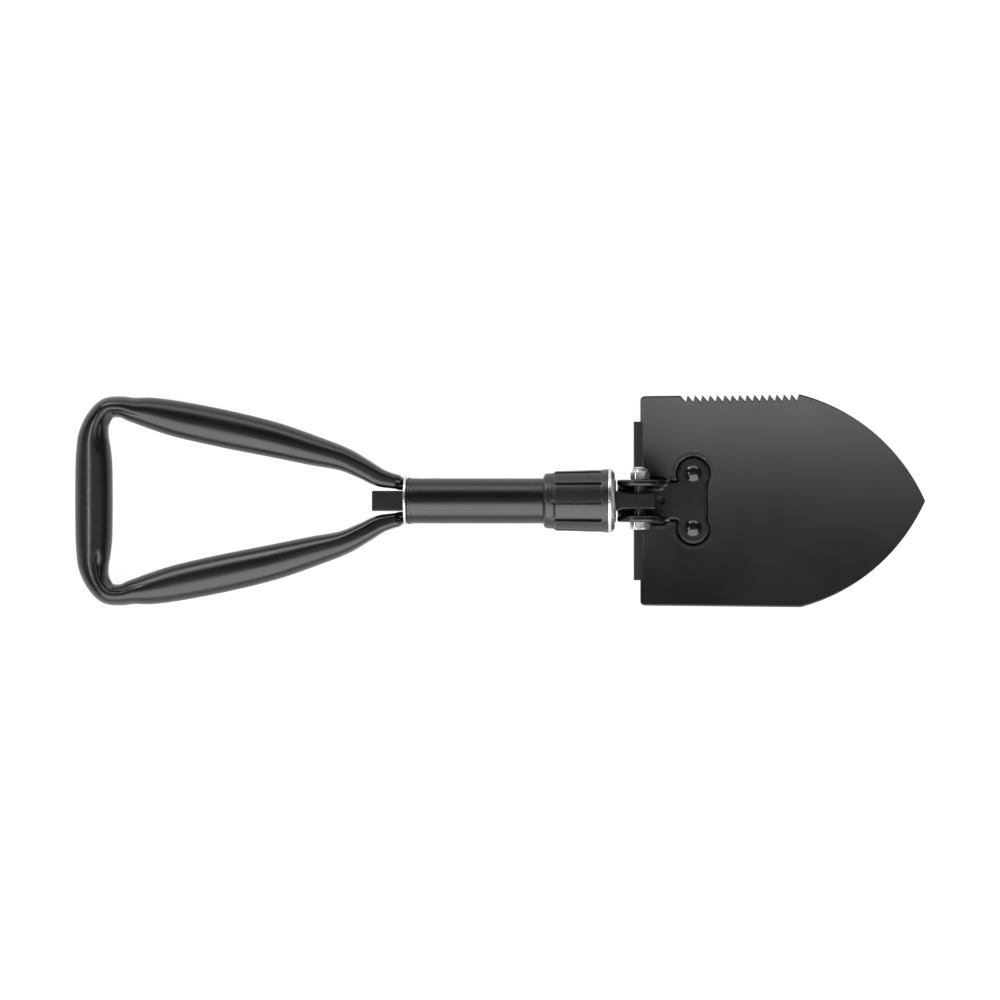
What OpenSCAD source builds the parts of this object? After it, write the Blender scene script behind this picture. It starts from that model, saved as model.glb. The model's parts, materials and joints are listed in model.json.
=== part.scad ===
// Folding camp shovel: triangle handle, screw collar lock, pointed blade with a saw edge.
// Origin: on the shaft's axis, at the middle of the bare shaft tube.
// +X runs along the shaft to the blade's point, +Z is the blade's hollow side.

/* [Shaft] */
// Diameter of the shaft tube
shaft_d = 24.6; // [24:0.1:25]
// Wall of the shaft tube
shaft_wall = 1.5; // [1.2:0.1:1.8]
// Length of tube behind the origin
shaft_back = 37; // [34:1:45]
// Distance from the origin to the hinge bolt
hinge_x = 90; // [88:1:100]

/* [Handle] */
// Length of the handle behind the shaft tube
handle_len = 180.9; // [170:0.1:195]
// Width of the handle over its tube
handle_w = 114; // [106:1:122]
// Wall of the handle tube
handle_wall = 1.2; // [1:0.1:1.5]

/* [Blade] */
// Length of the blade from its back edge to its point
blade_len = 155.6; // [150:0.1:165]
// Width of the blade at its shoulders
blade_w = 116; // [110:1:120]
// Thickness of the blade's sheet
blade_t = 2; // [1.8:0.1:2.2]
// Radius of the blade's hollow, across its width
dish_r = 240; // [220:10:300]
// Radius of the two curved edges that meet at the point
point_r = 103.3; // [100:0.1:110]
// Number of notches in the saw edge
tooth_count = 16; // [8:1:16]
// Length of one saw tooth
tooth_pitch = 4.04; // [3.6:0.01:4.04]
// Depth of the saw notches
tooth_depth = 3.3; // [2:0.1:3.5]

/* [Hinge] */
// Diameter of the hinge bolt
bolt_d = 6; // [5.8:0.1:6.2]
// Width of the bracket over its two ears
ears_w = 23; // [22.6:0.1:23.4]
// Thickness of each ear
ear_t = 3.5; // [3:0.1:3.6]
// Distance from the bolt to the locking flats on the ears
flat_r = 12.5; // [12.4:0.1:12.6]
// Thickness of the hinge tongue
tongue_t = 9; // [8:0.5:10]
// Height of the hinge tongue
tongue_h = 15.2; // [14:0.1:15.4]
// Distance from the bolt down to the foot of the bracket
foot_drop = 19; // [19:0.1:20]
// Thickness of the bracket's foot
foot_t = 3; // [2.5:0.1:3]
// Distance between the two rivets
rivet_gap = 30; // [29:0.5:31]

/* [Collar] */
// Diameter over the collar's grip
grip_d = 33.8; // [33:0.1:34.4]
// Diameter of the collar's bright rim
rim_d = 35; // [34.6:0.1:35]
// Number of grip pads round the collar
pad_count = 10; // [8:1:12]

/* [Hidden] */
$fn = 64;
eps = 0.01;
run_fit = 0.06;

// Colours
paint = [0.05, 0.05, 0.055];
plastic = [0.13, 0.13, 0.14];
zinc = [0.75, 0.77, 0.8];
nylon = [0.85, 0.87, 0.9];

// Along the shaft
shaft_r = shaft_d / 2;
bore_r = shaft_r - shaft_wall;
tube_end = hinge_x - 48;
barrel_end = hinge_x - 22.5;
thread_r = 11.75;
shank_r = 7;
shank_start = tube_end + 4;
root_x = hinge_x - 12;
root_t = tongue_t + 2;
tongue_end = 8.1;
tip_r = 1.2;

// The collar, backed off by rest_gap from where it presses on the ears
rest_gap = 0.65;
washer_front = hinge_x - flat_r - rest_gap;
washer_t = 2.85;
washer_r = 11.75;
nut_bore_r = thread_r + 0.35;
rim_r = rim_d / 2;
rim_t = 3.5;
rim_front = washer_front - 0.65;
rim_back = rim_front - rim_t;
recess_floor = washer_front - washer_t - 0.15;
shoulder_r = 9.4;
shoulder_t = 2.3;
nut_r = 14;
nut_back = rim_back - 26.4;
grip_r = grip_d / 2;
neck_back = rim_back - 35.2;
neck_r = 15.2;
pads_back = neck_back + 6.6;
pads_front = neck_back + 31.4;
groove_w = 2.2;
groove_r = neck_r + 0.2;
wiper_back = neck_back + 1.2;
wiper_front = wiper_back + 3;
wiper_r = 13.7;

// The blade: its front face touches z = blade_z on the centre line
shoulder_x = blade_len * 0.562;
rear_w = blade_w - 1.6;
blade_z = -(foot_drop + foot_t - 1);
dish_z = blade_z + dish_r;
corner_r = 2.5;
saw_start = blade_len * 0.141;
step_half = 43.4;
step_half_angle = asin(step_half / dish_r);
step_r = 4;
step_drop = 9;
step_out = 3.7;
step_start = step_r + blade_t - step_out;

// Circle of radius point_r through the shoulder and the point of the blade
chord_x = (blade_len - shoulder_x) / 2;
chord_y = blade_w / 4;
chord_half = sqrt(chord_x * chord_x + chord_y * chord_y);
arc_sag = sqrt(point_r * point_r - chord_half * chord_half);
arc_x = (shoulder_x + blade_len) / 2 - arc_sag * chord_y / chord_half;
arc_y = chord_y - arc_sag * chord_x / chord_half;

// The bracket
foot_z = -foot_drop - foot_t;
lobe_x = 28.8;
lobe_r = 8;
foot_front = 36;
neck_w = 19;
ear_corner_r = 11.6;
pocket_gap = 1;
pan_rim = 1.6;
rivet_r = 2.5;
dome_r = 4.75;
dome_h = 2;
drain_d = 4;
drain_x = 11.2;

// Hinge bolt, along Y
hex_af = 10;
head_t = 4;
nut_t = 4.4;
insert_t = 1.6;
bolt_tail = 0.9;
ears_half = ears_w / 2;

// Handle: stations along one half, from the middle of the grip to the end inside the shaft.
// Each holds the distance behind the shaft tube and the distance off the axis, as shares of
// handle_len and handle_w, then the tube's width in the plane of the handle and its height.
stations = [
    [0.943, 0.000, 20.6, 20.0], [0.943, 0.160, 20.2, 20.0], [0.944, 0.290, 17.4, 20.8],
    [0.932, 0.382, 13.6, 22.0], [0.903, 0.440, 11.6, 22.6], [0.860, 0.455, 10.6, 22.4],
    [0.821, 0.433, 14.4, 21.6], [0.768, 0.415, 18.0, 20.8], [0.680, 0.388, 19.9, 20.2],
    [0.542, 0.342, 20.6, 20.0], [0.403, 0.293, 19.4, 20.2], [0.282, 0.241, 16.4, 20.8],
    [0.193, 0.201, 13.2, 21.2], [0.133, 0.156, 11.4, 20.8], [0.083, 0.113, 10.0, 19.0],
    [0.042, 0.095, 8.2, 17.4], [0.027, 0.090, 7.6, 16.6], [0.011, 0.071, 4.6, 10.6],
    [-0.105, 0.070, 4.4, 10.0]
];
ring_steps = 3;
ring_sides = 16;
spacer_t = 11;
spacer_h = 17;
spacer_back = 18.4;
handle_pin_d = 4;

// Catmull-Rom value of column k between stations i and i + 1
function clamp_index(i, n) = i < 0 ? 0 : (i > n - 1 ? n - 1 : i);
function station(i) = stations[clamp_index(i, len(stations))];
function spline(i, t, k) =
    let (a = station(i - 1)[k], b = station(i)[k], c = station(i + 1)[k], d = station(i + 2)[k])
    b + 0.5 * t * (c - a + t * (2 * a - 5 * b + 4 * c - d + t * (3 * (b - c) + d - a)));

// One half of the handle as [x, y, width, height] rows
half_rows = [
    for (i = [0 : len(stations) - 2])
        for (s = [0 : ring_steps - 1])
            let (t = s / ring_steps)
            [-shaft_back - handle_len * spline(i, t, 0), handle_w * spline(i, t, 1),
             spline(i, t, 2), spline(i, t, 3)]
];
end_station = stations[len(stations) - 1];
end_row = [-shaft_back - handle_len * end_station[0], handle_w * end_station[1],
           end_station[2], end_station[3]];
half_path = concat(half_rows, [end_row]);

// Both halves, from one end of the tube to the other
path = concat(
    [for (i = [len(half_path) - 1 : -1 : 1]) [half_path[i][0], -half_path[i][1], half_path[i][2],
                                              half_path[i][3]]],
    half_path
);

// Unit vector across the tube at ring i, in the plane of the handle
function across(i) =
    let (n = len(path), a = path[clamp_index(i - 1, n)], b = path[clamp_index(i + 1, n)],
         dx = b[0] - a[0], dy = b[1] - a[1], l = sqrt(dx * dx + dy * dy))
    [-dy / l, dx / l];

// Points of ring i, shrunk by inset on every side and moved along the tube by push
function ring(i, inset, push) =
    let (p = path[i], n = across(i))
    [for (s = [0 : ring_sides - 1])
        let (a = 360 * s / ring_sides, u = (p[2] / 2 - inset) * cos(a), v = (p[3] / 2 - inset) * sin(a))
        [p[0] + n[0] * u + n[1] * push, p[1] + n[1] * u - n[0] * push, v]];

module tube_sweep(inset, push) {
    last = len(path) - 1;
    points = [
        for (i = [0 : last])
            each ring(i, inset, i == 0 ? -push : (i == last ? push : 0))
    ];
    sides = [
        for (i = [0 : last - 1])
            for (s = [0 : ring_sides - 1])
                let (a = i * ring_sides + s, b = i * ring_sides + (s + 1) % ring_sides)
                each [[a, a + ring_sides, b + ring_sides], [a, b + ring_sides, b]]
    ];
    start_cap = [for (s = [0 : ring_sides - 1]) s];
    end_cap = [for (s = [ring_sides - 1 : -1 : 0]) last * ring_sides + s];
    polyhedron(points = points, faces = concat(sides, [start_cap, end_cap]));
}

// Cylinder along X from x0 to x1
module rod_x(x0, x1, r) {
    translate([x0, 0, 0]) rotate([0, 90, 0]) cylinder(h = x1 - x0, r = r);
}

// Cylinder along Y from y0 to y1, at the hinge
module rod_y(y0, y1, r) {
    translate([hinge_x, y0, 0]) rotate([-90, 0, 0]) cylinder(h = y1 - y0, r = r);
}

// Solid turned about X from a profile of [x, r] points
module turned_x(profile) {
    rotate([90, 0, 90]) rotate_extrude() polygon([for (p = profile) [p[1], p[0]]]);
}

// Hexagon across flats af, along Y from y0 to y1, at the hinge
module hex_y(y0, y1, af) {
    translate([hinge_x, y0, 0]) rotate([-90, 0, 0])
        cylinder(h = y1 - y0, r = af / 2 / cos(30), $fn = 6);
}

// ---- Shaft body ----

module handle_tube() {
    color(paint) difference() {
        tube_sweep(0, 0);
        tube_sweep(handle_wall, 1);
        rod_pin(handle_pin_d / 2 + 0.02);
    }
}

// The cross pin's own shape, through the shaft tube and both handle ends
module rod_pin(r) {
    translate([-shaft_back + 9, -shaft_r, 0]) rotate([-90, 0, 0]) cylinder(h = shaft_d, r = r);
}

module handle_spacer() {
    color(paint) difference() {
        translate([-shaft_back - spacer_back, -spacer_t / 2, -spacer_h / 2])
            cube([spacer_back + 18, spacer_t, spacer_h]);
        rod_pin(handle_pin_d / 2 + 0.02);
    }
}

module handle_pin() {
    color(zinc) intersection() {
        rod_pin(handle_pin_d / 2);
        rod_x(-shaft_back, 0, shaft_r);
    }
}

module shaft_ferrule() {
    color(zinc) turned_x([
        [-shaft_back - 1.4, bore_r + 0.1], [-shaft_back - 1.4, shaft_r + 0.7],
        [-shaft_back - 1, shaft_r + 1.05], [-shaft_back - 0.3, shaft_r + 1.05],
        [-shaft_back, shaft_r + 0.7], [-shaft_back, bore_r + 0.1]
    ]);
}

module shaft_tube() {
    bead_r = shaft_r + 0.4;
    color(paint) difference() {
        union() {
            rod_x(-shaft_back, tube_end, shaft_r);
            turned_x([
                [-shaft_back, shaft_r - 1], [-shaft_back, bead_r - 0.3], [-shaft_back + 0.4, bead_r],
                [-shaft_back + 1.8, bead_r], [-shaft_back + 2.6, shaft_r - 1]
            ]);
        }
        rod_x(-shaft_back - 1, tube_end + 1, bore_r);
        rod_pin(handle_pin_d / 2 + 0.02);
    }
}

module threaded_barrel() {
    spigot_r = bore_r - 0.05;
    color(zinc) difference() {
        union() {
            rod_x(tube_end - 18, tube_end + 1, spigot_r);
            rod_x(tube_end, barrel_end, thread_r);
        }
        rod_x(shank_start, barrel_end + 1, shank_r + 0.05);
        tongue_pin_shape(2.5 + 0.03);
    }
}

// Pin through the barrel and the tongue's shank
module tongue_pin_shape(r) {
    translate([tube_end + 11, 0, -thread_r]) cylinder(h = 2 * thread_r, r = r);
}

module tongue_pin() {
    color(zinc) intersection() {
        tongue_pin_shape(2.5);
        rod_x(tube_end, barrel_end, thread_r - 0.2);
    }
}

module hinge_tongue() {
    color(paint) difference() {
        union() {
            rod_x(shank_start + 0.5, barrel_end, shank_r);
            intersection() {
                translate([barrel_end - 1, -root_t / 2, -tongue_h / 2])
                    cube([root_x - barrel_end + 1, root_t, tongue_h]);
                rod_x(barrel_end, hinge_x, shoulder_r - 0.15);
            }
            tongue_bar();
        }
        rod_y(-tongue_t, tongue_t, bolt_d / 2 + run_fit);
        tongue_pin_shape(2.5 + 0.03);
    }
}

// Flat bar round the hinge
module tongue_bar() {
    flare = (root_t - tongue_t) / 2;
    intersection() {
        translate([0, 0, -tongue_h / 2]) linear_extrude(tongue_h) polygon([
            [root_x - 0.4, -root_t / 2], [root_x, -root_t / 2],
            [root_x + 1.6, -tongue_t / 2 - flare / 4], [root_x + 3, -tongue_t / 2],
            [hinge_x + tongue_end, -tongue_t / 2], [hinge_x + tongue_end, tongue_t / 2],
            [root_x + 3, tongue_t / 2], [root_x + 1.6, tongue_t / 2 + flare / 4],
            [root_x, root_t / 2], [root_x - 0.4, root_t / 2]
        ]);
        rotate([90, 0, 0]) linear_extrude(2 * root_t, center = true) {
            length = hinge_x + tongue_end - root_x + 1;
            translate([root_x - 1, -tongue_h / 2]) square([length - tip_r, tongue_h]);
            translate([root_x - 1, tip_r - tongue_h / 2]) square([length, tongue_h - 2 * tip_r]);
            for (s = [-1, 1]) translate([hinge_x + tongue_end - tip_r, s * (tongue_h / 2 - tip_r)])
                circle(tip_r);
        }
    }
}

// ---- Thrust body ----

module thrust_washer() {
    color(paint) difference() {
        rod_x(washer_front - washer_t, washer_front, washer_r);
        translate([washer_front - washer_t - 1, -root_t / 2 - 0.15, -tongue_h / 2 - 0.15])
            cube([washer_t + 2, root_t + 0.3, tongue_h + 0.3]);
    }
}

// ---- Collar body ----

module collar_grip() {
    color(plastic) difference() {
        turned_x([
            [neck_back, shaft_r + 0.4], [neck_back, neck_r - 1.2], [neck_back + 0.5, neck_r - 0.5],
            [neck_back + 1.6, neck_r], [pads_back, neck_r + 0.2], [pads_back + 0.6, grip_r - 0.8],
            [pads_back + 1.4, grip_r - 0.5], [pads_front - 0.6, grip_r], [pads_front + 0.6, grip_r + 0.3],
            [rim_back, grip_r + 0.4], [rim_back, nut_r + run_fit], [nut_back, nut_r + run_fit],
            [nut_back, shaft_r + 0.4]
        ]);
        rod_x(wiper_back, wiper_front, wiper_r);
        for (i = [0 : pad_count - 1]) rotate([360 * i / pad_count, 0, 0])
            translate([pads_back - 0.4, -groove_w / 2, groove_r])
                cube([pads_front - pads_back + 0.4, groove_w, 4]);
    }
}

module collar_nut() {
    color(zinc) difference() {
        union() {
            rod_x(nut_back, rim_back + 1, nut_r);
            turned_x([
                [rim_back, nut_r - 1], [rim_back, rim_r - 0.1], [rim_back + 0.1, rim_r],
                [rim_front - 2, rim_r], [rim_front, rim_r - 0.9], [rim_front, nut_r - 1]
            ]);
        }
        rod_x(nut_back - 1, recess_floor - shoulder_t, nut_bore_r);
        rod_x(nut_back, rim_front + 1, shoulder_r);
        rod_x(recess_floor, rim_front + 1, washer_r + 0.35);
    }
}

module collar_wiper() {
    color(paint) difference() {
        rod_x(wiper_back, wiper_front, wiper_r);
        rod_x(wiper_back - 1, wiper_front + 1, shaft_r + 0.1);
    }
}

// ---- Blade body ----

// Flat plan of the blade behind its shoulders, with the saw edge on +Y
module rear_plan() {
    edge_slope = (blade_w - rear_w) / 2 / shoulder_x;
    difference() {
        union() {
            polygon([
                [0, corner_r - rear_w / 2], [0, rear_w / 2 - corner_r], [corner_r, rear_w / 2],
                [shoulder_x, blade_w / 2], [shoulder_x, -blade_w / 2], [corner_r, -rear_w / 2]
            ]);
            for (s = [-1, 1]) translate([corner_r, s * (rear_w / 2 - corner_r)]) circle(corner_r);
        }
        translate([-1, -step_half]) square([1 + step_start, 2 * step_half]);
        for (i = [0 : tooth_count - 1])
            let (x = saw_start + i * tooth_pitch)
            translate([x, rear_w / 2 + x * edge_slope]) polygon([
                [0, 1], [0, 0], [tooth_pitch * 0.72, -tooth_depth], [tooth_pitch * 0.95, 0],
                [tooth_pitch * 0.95, 1]
            ]);
    }
}

// Tall prism over the pointed end, between two arcs
module point_prism() {
    intersection() {
        arc_cylinder(-1);
        arc_cylinder(1);
        translate([shoulder_x, -blade_w / 2, -2 * foot_drop]) cube([blade_len, blade_w, 2 * foot_drop]);
    }
}

module arc_cylinder(side) {
    translate([arc_x, side * arc_y, -2 * foot_drop]) cylinder(h = 2 * foot_drop, r = point_r);
}

// Outline of the bracket's foot, grown by g on every side: under the ears, the neck, the cross bar
// and the two lobes round the rivets
module foot_outline(g) {
    lobe_back = lobe_x - lobe_r;
    translate([-flat_r - g, -ears_half - g]) square([2 * flat_r + 2 * g, ears_w + 2 * g]);
    translate([0, -neck_w / 2 - g]) square([lobe_x, neck_w + 2 * g]);
    translate([lobe_back - g, -rivet_gap / 2]) square([foot_front - lobe_back + 2 * g, rivet_gap]);
    for (s = [-1, 1]) translate([lobe_x, s * rivet_gap / 2]) circle(lobe_r + g);
}

// Cylinder about the axis of the dish, along X
module dish_cylinder(r, extra) {
    translate([-extra, 0, dish_z]) rotate([0, 90, 0]) rotate([0, 0, 180])
        cylinder(h = blade_len + 2 * extra, r = r);
}

// What a tall prism leaves of the dished sheet
module dished() {
    difference() {
        intersection() {
            children();
            dish_cylinder(dish_r + blade_t, 1);
        }
        dish_cylinder(dish_r, 2);
    }
}

// Turned-down step along the back edge, swept about the axis of the dish
module rear_step() {
    translate([0, 0, dish_z]) rotate([0, 90, 0]) rotate([0, 0, -step_half_angle])
        rotate_extrude(angle = 2 * step_half_angle) {
            translate([dish_r, step_start]) square([blade_t, step_out + 1]);
            translate([dish_r + step_r + blade_t - eps, -step_out])
                square([step_drop - step_r - blade_t, blade_t]);
            intersection() {
                translate([dish_r, -step_out]) square(step_r + blade_t);
                difference() {
                    translate([dish_r + step_r + blade_t, step_start]) circle(step_r + blade_t);
                    translate([dish_r + step_r + blade_t, step_start]) circle(step_r);
                }
            }
        }
}

module blade() {
    color(paint) translate([hinge_x, 0, 0]) difference() {
        union() {
            dished() translate([0, 0, -2 * foot_drop]) linear_extrude(2 * foot_drop) rear_plan();
            dished() point_prism();
            rear_step();
            intersection() {
                translate([0, 0, foot_z - blade_t]) linear_extrude(blade_t + 0.5)
                    foot_outline(pocket_gap + pan_rim);
                translate([step_start - blade_t, -blade_w / 2, -2 * foot_drop])
                    cube([blade_len, blade_w, 2 * foot_drop]);
            }
        }
        translate([0, 0, foot_z]) linear_extrude(foot_drop) foot_outline(pocket_gap);
        for (s = [-1, 1]) translate([lobe_x, s * rivet_gap / 2, -2 * foot_drop])
            cylinder(h = 2 * foot_drop, r = rivet_r + 0.02);
    }
}

// Side view of one ear: locking flats round the bolt, then down to the foot
module ear_outline() {
    half = flat_r - ear_corner_r;
    difference() {
        union() {
            for (s = [-1, 1]) translate([s * half, half]) circle(ear_corner_r);
            translate([-half, -half]) square([2 * half, flat_r + half]);
            translate([-flat_r, -foot_drop - foot_t / 2]) square([2 * flat_r, foot_drop + foot_t / 2 + half]);
            translate([flat_r - eps, -foot_drop - eps]) square(3.5);
        }
        translate([flat_r + 3.5, -foot_drop + 3.5]) circle(3.5);
        circle(bolt_d / 2 + run_fit);
    }
}

module hinge_bracket() {
    color(paint) translate([hinge_x, 0, 0]) difference() {
        union() {
            for (y = [-ears_half, ears_half - ear_t])
                translate([0, y + ear_t, 0]) rotate([90, 0, 0]) linear_extrude(ear_t) ear_outline();
            translate([0, 0, foot_z]) linear_extrude(foot_t) foot_outline(0);
            for (s = [0, 180]) rotate([0, 0, s]) inner_fillet();
        }
        translate([drain_x, 0, -2 * foot_drop]) cylinder(h = 2 * foot_drop, r = drain_d / 2);
        for (s = [-1, 1]) translate([lobe_x, s * rivet_gap / 2, -2 * foot_drop])
            cylinder(h = 2 * foot_drop, r = rivet_r + 0.02);
    }
}

// Bend between an ear and the foot, along X
module inner_fillet() {
    bend_r = 2.5;
    y0 = ears_half - ear_t - bend_r;
    translate([-flat_r, y0, -foot_drop - eps]) difference() {
        cube([2 * flat_r, bend_r + eps, bend_r + eps]);
        translate([-1, 0, bend_r]) rotate([0, 90, 0]) cylinder(h = 2 * flat_r + 2, r = bend_r);
    }
}

module blade_rivets() {
    dome_ball_r = (dome_r * dome_r + dome_h * dome_h) / (2 * dome_h);
    color(paint) for (s = [-1, 1]) translate([hinge_x + lobe_x, s * rivet_gap / 2, 0]) {
        translate([0, 0, foot_z - blade_t - 1.2]) cylinder(h = foot_t + blade_t + 1.4, r = rivet_r);
        translate([0, 0, foot_z - blade_t - 1.2]) cylinder(h = 1.2, r = dome_r - 0.6);
        intersection() {
            translate([0, 0, dome_h - dome_ball_r - foot_drop]) sphere(dome_ball_r);
            translate([0, 0, -foot_drop]) cylinder(h = dome_h + 1, r = dome_r + 1);
        }
    }
}

module pivot_bolt() {
    tail = ears_half + nut_t + insert_t + bolt_tail;
    color(zinc) {
        rod_y(-ears_half - 0.5, tail, bolt_d / 2);
        intersection() {
            hex_y(-ears_half - head_t, -ears_half, hex_af);
            rod_y(-ears_half - head_t, -ears_half, hex_af / 2 + 0.5);
        }
    }
}

module pivot_nut() {
    color(zinc) difference() {
        union() {
            intersection() {
                hex_y(ears_half, ears_half + nut_t, hex_af);
                rod_y(ears_half, ears_half + nut_t, hex_af / 2 + 0.5);
            }
            rod_y(ears_half + nut_t - 0.5, ears_half + nut_t + insert_t, hex_af / 2 - 0.6);
        }
        rod_y(ears_half - 1, ears_half + nut_t + insert_t + 1, bolt_d / 2 + 0.02);
        rod_y(ears_half + nut_t - 0.6, ears_half + nut_t + insert_t - 0.4, bolt_d / 2 + 1);
    }
}

module nut_insert() {
    color(nylon) difference() {
        rod_y(ears_half + nut_t - 0.6, ears_half + nut_t + insert_t - 0.4, bolt_d / 2 + 1);
        rod_y(ears_half - 1, ears_half + nut_t + insert_t + 1, bolt_d / 2 + 0.02);
    }
}

handle_tube();
handle_spacer();
handle_pin();
shaft_ferrule();
shaft_tube();
threaded_barrel();
hinge_tongue();
tongue_pin();
thrust_washer();
collar_grip();
collar_nut();
collar_wiper();
blade();
hinge_bracket();
blade_rivets();
pivot_bolt();
pivot_nut();
nut_insert();
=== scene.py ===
"""Folding camp shovel: detailed meshes, materials and a studio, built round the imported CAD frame.

Every length is in metres, in the frame's own axes: +X along the shaft to the blade's point,
+Y to the saw edge, +Z out of the blade's hollow side.
"""
import json
import math

import bmesh
import bpy
import numpy as np
from mathutils import Matrix, Vector


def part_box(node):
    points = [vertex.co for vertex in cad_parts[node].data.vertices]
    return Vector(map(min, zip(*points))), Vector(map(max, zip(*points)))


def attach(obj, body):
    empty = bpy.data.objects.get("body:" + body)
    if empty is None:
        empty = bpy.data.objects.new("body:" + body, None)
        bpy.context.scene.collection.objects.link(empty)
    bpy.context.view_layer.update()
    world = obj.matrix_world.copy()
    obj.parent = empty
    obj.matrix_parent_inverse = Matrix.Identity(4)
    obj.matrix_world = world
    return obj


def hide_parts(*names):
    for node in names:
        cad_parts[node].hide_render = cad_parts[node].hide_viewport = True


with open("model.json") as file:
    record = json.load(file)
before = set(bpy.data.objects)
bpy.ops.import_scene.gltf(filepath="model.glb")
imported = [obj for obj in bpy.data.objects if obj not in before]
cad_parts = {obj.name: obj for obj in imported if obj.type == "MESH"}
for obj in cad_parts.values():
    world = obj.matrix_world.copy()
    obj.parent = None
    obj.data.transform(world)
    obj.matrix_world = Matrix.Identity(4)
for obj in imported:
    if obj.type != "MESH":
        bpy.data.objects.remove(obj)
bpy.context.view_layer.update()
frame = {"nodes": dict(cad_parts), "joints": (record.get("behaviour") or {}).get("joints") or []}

MM = 0.001
TAU = 2 * math.pi

joints = {j["name"]: j for j in frame["joints"]}
hinge = Vector(joints["blade_fold"]["pos_m"])


# ---------------------------------------------------------------- mesh helpers

def make_piece(name, verts, faces, body, slot, material, replaces=(), sharp_deg=32, flat_faces=False):
    """A mesh object from points and faces that rides on a body and stands for CAD nodes."""
    mesh = bpy.data.meshes.new(name)
    mesh.from_pydata([tuple(v) for v in verts], [], faces)
    return finish_piece(name, mesh, body, material, replaces, sharp_deg, flat_faces)


def finish_piece(name, mesh, body, material, replaces=(), sharp_deg=32, flat_faces=False):
    """Cleans a mesh's normals, smooths it up to its sharp edges and hangs it on a body."""
    bm = bmesh.new()
    bm.from_mesh(mesh)
    bmesh.ops.remove_doubles(bm, verts=bm.verts, dist=1e-6)
    bmesh.ops.recalc_face_normals(bm, faces=bm.faces)
    bm.to_mesh(mesh)
    bm.free()
    mesh.shade_smooth()
    mesh.set_sharp_from_angle(angle=math.radians(sharp_deg))
    mesh.materials.clear()
    mesh.materials.append(material)
    obj = bpy.data.objects.new(name, mesh)
    bpy.context.scene.collection.objects.link(obj)
    if flat_faces:
        weigh_normals(obj)
    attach(obj, body)
    if replaces:
        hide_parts(*replaces)
    return obj


def smooth(t):
    """Eases a share between 0 and 1."""
    t = min(max(t, 0.0), 1.0)
    return t * t * (3 - 2 * t)


def weigh_normals(obj):
    """Makes large faces shade flat next to their rounded edges."""
    mod = obj.modifiers.new("normals", "WEIGHTED_NORMAL")
    mod.weight = 60
    mod.keep_sharp = True
    bpy.context.view_layer.update()
    dg = bpy.context.evaluated_depsgraph_get()
    mesh = bpy.data.meshes.new_from_object(obj.evaluated_get(dg), preserve_all_data_layers=True, depsgraph=dg)
    obj.modifiers.clear()
    obj.data = mesh


def grid_faces(rows, cols, wrap_cols=False, start=0):
    """Quads of a rows by cols grid of points, row after row."""
    span = cols if wrap_cols else cols - 1
    return [
        (start + r * cols + c, start + r * cols + (c + 1) % cols,
         start + (r + 1) * cols + (c + 1) % cols, start + (r + 1) * cols + c)
        for r in range(rows - 1) for c in range(span)
    ]


def rounded(points, steps=4):
    """Closed outline from (x, y, radius) corners, each rounded by an arc of its radius."""
    out = []
    count = len(points)
    for i, (x, y, radius) in enumerate(points):
        here = Vector((x, y))
        before = Vector(points[i - 1][:2])
        after = Vector(points[(i + 1) % count][:2])
        if radius <= 0:
            out.append((x, y))
            continue
        a = (before - here).normalized()
        b = (after - here).normalized()
        half = a.angle(b) / 2
        reach = radius / math.tan(half)
        limit = 0.499 * min((before - here).length, (after - here).length)
        if reach > limit:
            radius *= limit / reach
            reach = limit
        centre = here + (a + b).normalized() * (radius / math.sin(half))
        p, q = here + a * reach - centre, here + b * reach - centre
        turn = p.angle_signed(q)
        for s in range(steps + 1):
            r = p.copy()
            r.rotate(Matrix.Rotation(-turn * s / steps, 2))
            out.append(tuple(centre + r))
    return out


def lathe(profile, segments=96, centre=(0, 0)):
    """Points and faces of a closed (x, r) profile turned about the X axis."""
    verts = [
        (x, centre[0] + r * math.sin(TAU * s / segments), centre[1] + r * math.cos(TAU * s / segments))
        for s in range(segments) for x, r in profile
    ]
    n = len(profile)
    faces = [
        (s * n + i, s * n + (i + 1) % n, (s + 1) % segments * n + (i + 1) % n, (s + 1) % segments * n + i)
        for s in range(segments) for i in range(n)
    ]
    return verts, faces


def extruded(outline, low, high, axis="z"):
    """Closed solid from a flat outline: (x, y) along z, or (x, z) along y."""
    n = len(outline)
    verts = []
    for level in (low, high):
        for a, b in outline:
            verts.append((a, b, level) if axis == "z" else (a, level, b))
    faces = [tuple(range(n)), tuple(range(2 * n - 1, n - 1, -1))]
    faces += [(i, (i + 1) % n, n + (i + 1) % n, n + i) for i in range(n)]
    return verts, faces


def raw_object(name, verts, faces):
    """A bare object for modifiers to work on."""
    mesh = bpy.data.meshes.new(name)
    mesh.from_pydata([tuple(v) for v in verts], [], faces)
    bm = bmesh.new()
    bm.from_mesh(mesh)
    bmesh.ops.recalc_face_normals(bm, faces=bm.faces)
    bm.to_mesh(mesh)
    bm.free()
    obj = bpy.data.objects.new(name, mesh)
    bpy.context.scene.collection.objects.link(obj)
    return obj


def baked_mesh(obj):
    """The object's mesh with its modifiers applied; the object itself is removed."""
    bpy.context.view_layer.update()
    dg = bpy.context.evaluated_depsgraph_get()
    mesh = bpy.data.meshes.new_from_object(obj.evaluated_get(dg))
    bpy.data.objects.remove(obj)
    return mesh


def combine(obj, other, operation):
    """Boolean of obj with another object, which is used up."""
    mod = obj.modifiers.new(operation.lower(), "BOOLEAN")
    mod.operation = operation
    mod.object = other
    mod.solver = "EXACT"
    name = obj.name
    mesh = baked_mesh(obj)
    bpy.data.objects.remove(other)
    made = bpy.data.objects.new(name, mesh)
    bpy.context.scene.collection.objects.link(made)
    return made


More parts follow.
